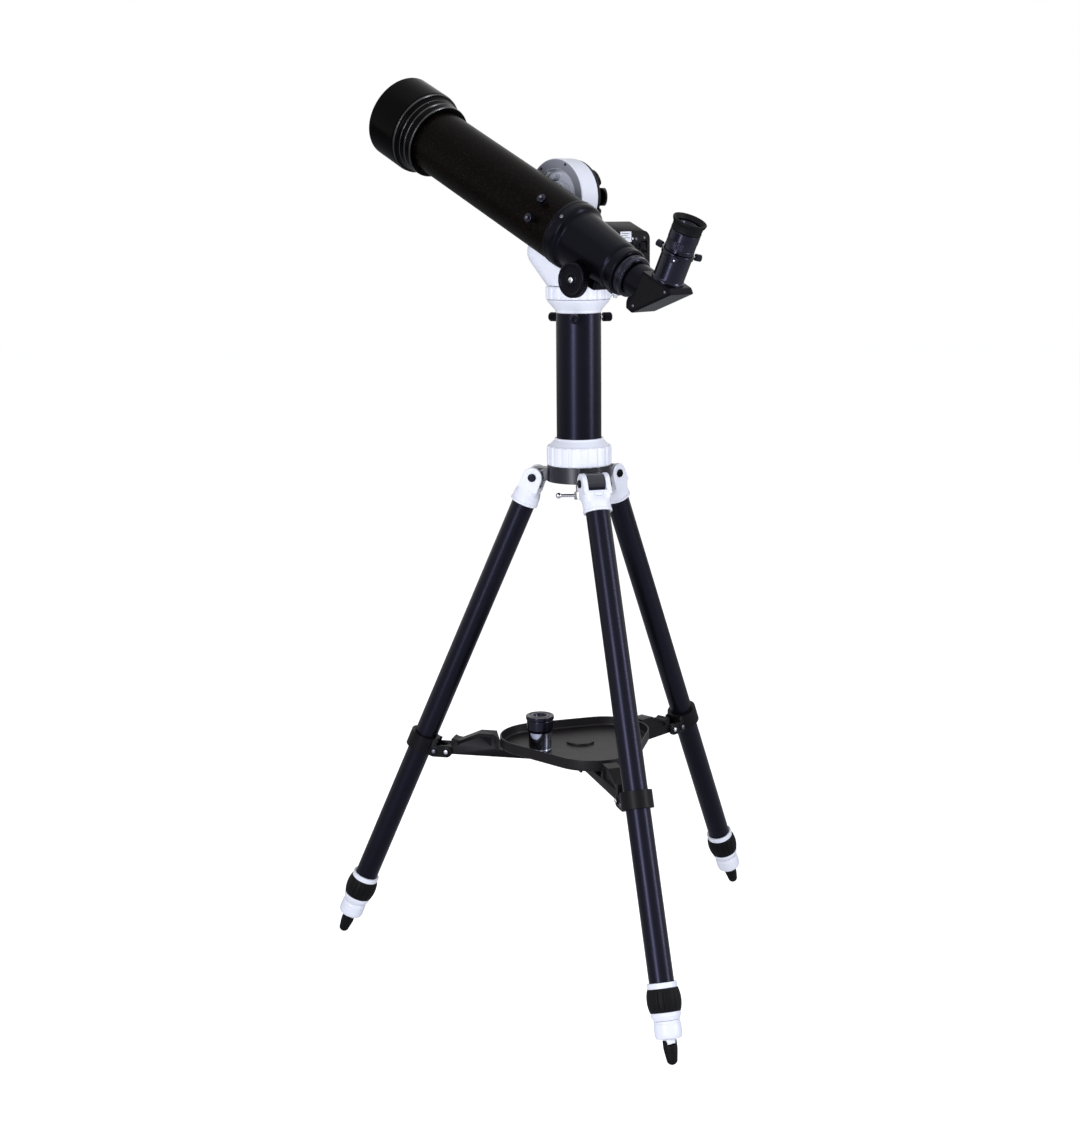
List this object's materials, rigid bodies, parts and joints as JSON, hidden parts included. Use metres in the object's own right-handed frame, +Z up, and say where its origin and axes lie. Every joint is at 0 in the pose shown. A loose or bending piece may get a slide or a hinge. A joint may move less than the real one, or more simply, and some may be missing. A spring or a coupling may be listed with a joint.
{
  "type": "refractor telescope on a tripod",
  "caption": "Short refractor telescope with star diagonal on a single-arm altazimuth head, a pier tube and a folding tripod with a spreader tray.",
  "frame": {"origin": "middle of the footprint of the three feet, on the floor", "axes": "+Z up, -Y towards the front leg and the viewer, +X to the viewer's right; the tube aims up and to the back left"},
  "size_m": [0.607, 0.6164, 1.2075],
  "materials": {
    "hub_casting": "dark blue-grey paint on a casting",
    "black_tube": "satin black anodised or powder coated tube",
    "tube_paint": "satin black paint with a fine metallic flake",
    "white_plastic": "cool white moulded plastic, satin",
    "rubber": "matte black rubber",
    "bright_steel": "bright nickel-plated steel",
    "cast_black": "black painted casting",
    "brass": "machined",
    "lens_glass": "coated objective glass",
    "mirror": "aluminised mirror",
    "draw_metal": "black anodised",
    "spare_metal": "black anodised head on a chromed barrel",
    "black_plastic": "black moulded plastic, satin"
  },
  "bodies": {
    "tripod": {"tripod_hub": "hub_casting", "hinge_pins": "black_plastic", "pier_tube": "black_tube", "mount_base": "white_plastic", "pier_clamp_screws": "black_plastic"},
    "pier_lock_ring": {"pier_ring": "white_plastic"},
    "hub_bolt": {"centre_bolt": "bright_steel"},
    "leg_1": {"leg_socket_1": "white_plastic", "leg_tube_1": "black_tube", "spreader_collar_1": "black_plastic"},
    "lock_1": {"lock_nut_1": "white_plastic", "lock_grip_1": "rubber"},
    "lower_leg_1": {"inner_leg_1": "white_plastic", "rubber_foot_1": "rubber"},
    "arm_1": {"spreader_arm_1": "black_plastic"},
    "leg_2": {"leg_socket_2": "white_plastic", "leg_tube_2": "black_tube", "spreader_collar_2": "black_plastic"},
    "lock_2": {"lock_nut_2": "white_plastic", "lock_grip_2": "rubber"},
    "lower_leg_2": {"inner_leg_2": "white_plastic", "rubber_foot_2": "rubber"},
    "arm_2": {"spreader_arm_2": "black_plastic"},
    "leg_3": {"leg_socket_3": "white_plastic", "leg_tube_3": "black_tube", "spreader_collar_3": "black_plastic"},
    "lock_3": {"lock_nut_3": "white_plastic", "lock_grip_3": "rubber"},
    "lower_leg_3": {"inner_leg_3": "white_plastic", "rubber_foot_3": "rubber"},
    "arm_3": {"spreader_arm_3": "black_plastic"},
    "spreader": {"spreader_hub": "black_plastic"},
    "tray": {"accessory_tray": "black_plastic"},
    "spare": {"spare_eyepiece": "spare_metal"},
    "clutch_ring": {"azimuth_ring": "white_plastic"},
    "mount_head": {"mount_chassis": "cast_black", "front_shell": "white_plastic", "rear_shell": "black_plastic", "port_panel": "black_plastic"},
    "switch": {"power_switch": "black_plastic"},
    "altitude_head": {"altitude_drum": "white_plastic", "worm_wheel": "brass", "saddle": "cast_black"},
    "clutch_knob": {"altitude_knob": "black_plastic"},
    "clamp_knob": {"saddle_knob": "black_plastic"},
    "telescope": {"main_tube": "tube_paint", "dew_cap": "black_plastic", "lens_cell": "black_plastic", "objective_lens": "lens_glass", "dovetail_bar": "tube_paint", "finder_studs": "bright_steel", "focuser_body": "black_plastic"},
    "focus_pinion": {"focus_knobs": "black_plastic"},
    "lock_screw": {"focus_lock_screw": "bright_steel"},
    "focus_draw": {"draw_tube": "draw_metal"},
    "diagonal": {"diagonal_housing": "black_plastic", "diagonal_mirror": "mirror", "eyepiece_screws": "black_plastic"},
    "ocular": {"eyepiece": "black_plastic", "eyecup": "rubber"}
  },
  "joints": [
    {"name": "leg_fold_1", "type": "hinge", "parent": "tripod", "child": "leg_1", "pos_m": [0.06915, -0.01793, 0.68199], "axis": [0.9573, 0.289, 0], "range_deg": [0, 7]},
    {"name": "leg_fold_2", "type": "hinge", "parent": "tripod", "child": "leg_2", "pos_m": [0.09336, 0.08527, 0.68199], "axis": [-0.729, 0.6845, 0], "range_deg": [0, 7]},
    {"name": "leg_fold_3", "type": "hinge", "parent": "tripod", "child": "leg_3", "pos_m": [-0.00812, 0.05463, 0.68199], "axis": [-0.2284, -0.9736, 0], "range_deg": [0, 7]},
    {"name": "lock_twist_1", "type": "hinge", "parent": "leg_1", "child": "lock_1", "pos_m": [0.06915, -0.01793, 0.68199], "axis": [0.1157, -0.3833, -0.9164], "range_deg": [0, 90]},
    {"name": "leg_extend_1", "type": "slide", "parent": "leg_1", "child": "lower_leg_1", "axis": [0.1157, -0.3833, -0.9164], "range_m": [0, 0.44]},
    {"name": "arm_fold_1", "type": "hinge", "parent": "leg_1", "child": "arm_1", "pos_m": [0.10662, -0.14203, 0.28837], "axis": [0.9573, 0.289, 0], "range_deg": [0, 36]},
    {"name": "lock_twist_2", "type": "hinge", "parent": "leg_2", "child": "lock_2", "pos_m": [0.09336, 0.08527, 0.68199], "axis": [0.2741, 0.2918, -0.9164], "range_deg": [0, 90]},
    {"name": "leg_extend_2", "type": "slide", "parent": "leg_2", "child": "lower_leg_2", "axis": [0.2741, 0.2918, -0.9164], "range_m": [0, 0.44]},
    {"name": "arm_fold_2", "type": "hinge", "parent": "leg_2", "child": "arm_2", "pos_m": [0.18209, 0.17977, 0.28837], "axis": [-0.729, 0.6845, 0], "range_deg": [0, 36]},
    {"name": "lock_twist_3", "type": "hinge", "parent": "leg_3", "child": "lock_3", "pos_m": [-0.00812, 0.05463, 0.68199], "axis": [-0.3898, 0.0914, -0.9164], "range_deg": [0, 90]},
    {"name": "leg_extend_3", "type": "slide", "parent": "leg_3", "child": "lower_leg_3", "axis": [-0.3898, 0.0914, -0.9164], "range_m": [0, 0.44]},
    {"name": "arm_fold_3", "type": "hinge", "parent": "leg_3", "child": "arm_3", "pos_m": [-0.13433, 0.08423, 0.28837], "axis": [-0.2284, -0.9736, 0], "range_deg": [0, 36]},
    {"name": "spreader_lift", "type": "slide", "parent": "tripod", "child": "spreader", "axis": [0, 0, 1], "range_m": [0, 0.097]},
    {"name": "tray_lift", "type": "slide", "parent": "spreader", "child": "tray", "axis": [0, 0, 1], "range_m": [0, 0.035]},
    {"name": "spare_lift", "type": "slide", "parent": "tray", "child": "spare", "axis": [0, 0, 1], "range_m": [0, 0.12]},
    {"name": "pier_ring_turn", "type": "hinge", "parent": "tripod", "child": "pier_lock_ring", "pos_m": [0.05146, 0.04066, 0.69939], "axis": [0, 0, 1], "range_deg": [0, 90]},
    {"name": "centre_bolt_turn", "type": "hinge", "parent": "tripod", "child": "hub_bolt", "pos_m": [0.05146, 0.04066, 0.65679], "axis": [0, 0, 1], "continuous": true},
    {"name": "azimuth", "type": "hinge", "parent": "tripod", "child": "mount_head", "pos_m": [0.05146, 0.04066, 0.93709], "axis": [0, 0, 1], "continuous": true},
    {"name": "azimuth_clutch", "type": "hinge", "parent": "tripod", "child": "clutch_ring", "pos_m": [0.05146, 0.04066, 0.91929], "axis": [0, 0, 1], "range_deg": [0, 90]},
    {"name": "power_switch_rock", "type": "hinge", "parent": "mount_head", "child": "switch", "pos_m": [0.13423, -0.0011, 0.98759], "axis": [0.7071, 0.7071, 0], "range_deg": [0, 16]},
    {"name": "altitude", "type": "hinge", "parent": "mount_head", "child": "altitude_head", "pos_m": [0.05146, 0.04066, 1.05069], "axis": [0.7071, 0.7071, 0], "range_deg": [-41, 63.8]},
    {"name": "altitude_clutch", "type": "hinge", "parent": "altitude_head", "child": "clutch_knob", "pos_m": [0.06518, 0.05437, 1.05069], "axis": [0.7071, 0.7071, 0], "range_deg": [0, 90]},
    {"name": "saddle_clamp", "type": "hinge", "parent": "altitude_head", "child": "clamp_knob", "pos_m": [0.00195, 0.00956, 1.02422], "axis": [-0.3122, 0.3122, -0.8973], "range_deg": [0, 90]},
    {"name": "tube_slide", "type": "slide", "parent": "altitude_head", "child": "telescope", "axis": [-0.6345, 0.6345, 0.4415], "range_m": [-0.03, 0.03]},
    {"name": "focus_draw_slide", "type": "slide", "parent": "telescope", "child": "focus_draw", "axis": [0.6345, -0.6345, -0.4415], "range_m": [0, 0.05]},
    {"name": "focus_turn", "type": "hinge", "parent": "telescope", "child": "focus_pinion", "pos_m": [0.06913, -0.13257, 0.95129], "axis": [0.7071, 0.7071, 0], "range_deg": [0, 542]},
    {"name": "focus_lock_turn", "type": "hinge", "parent": "telescope", "child": "lock_screw", "pos_m": [0.09206, -0.1555, 0.93566], "axis": [-0.3122, 0.3122, -0.8973], "range_deg": [0, 90]},
    {"name": "diagonal_turn", "type": "hinge", "parent": "focus_draw", "child": "diagonal", "pos_m": [0.14359, -0.20703, 0.93246], "axis": [-0.6345, 0.6345, 0.4415], "range_deg": [-90, 60]},
    {"name": "eyepiece_lift", "type": "slide", "parent": "diagonal", "child": "ocular", "axis": [0.3122, -0.3122, 0.8973], "range_m": [0, 0.045]}
  ],
  "couplings": [
    {"joint": "leg_fold_2", "follows": "leg_fold_1", "ratio": 1},
    {"joint": "leg_fold_3", "follows": "leg_fold_1", "ratio": 1},
    {"joint": "arm_fold_1", "follows": "leg_fold_1", "ratio": 4.96},
    {"joint": "arm_fold_2", "follows": "leg_fold_1", "ratio": 4.96},
    {"joint": "arm_fold_3", "follows": "leg_fold_1", "ratio": 4.96},
    {"joint": "spreader_lift", "follows": "leg_fold_1", "m_per_rad": 0.785},
    {"joint": "focus_turn", "follows": "focus_draw_slide", "rad_per_m": 188.68}
  ]
}
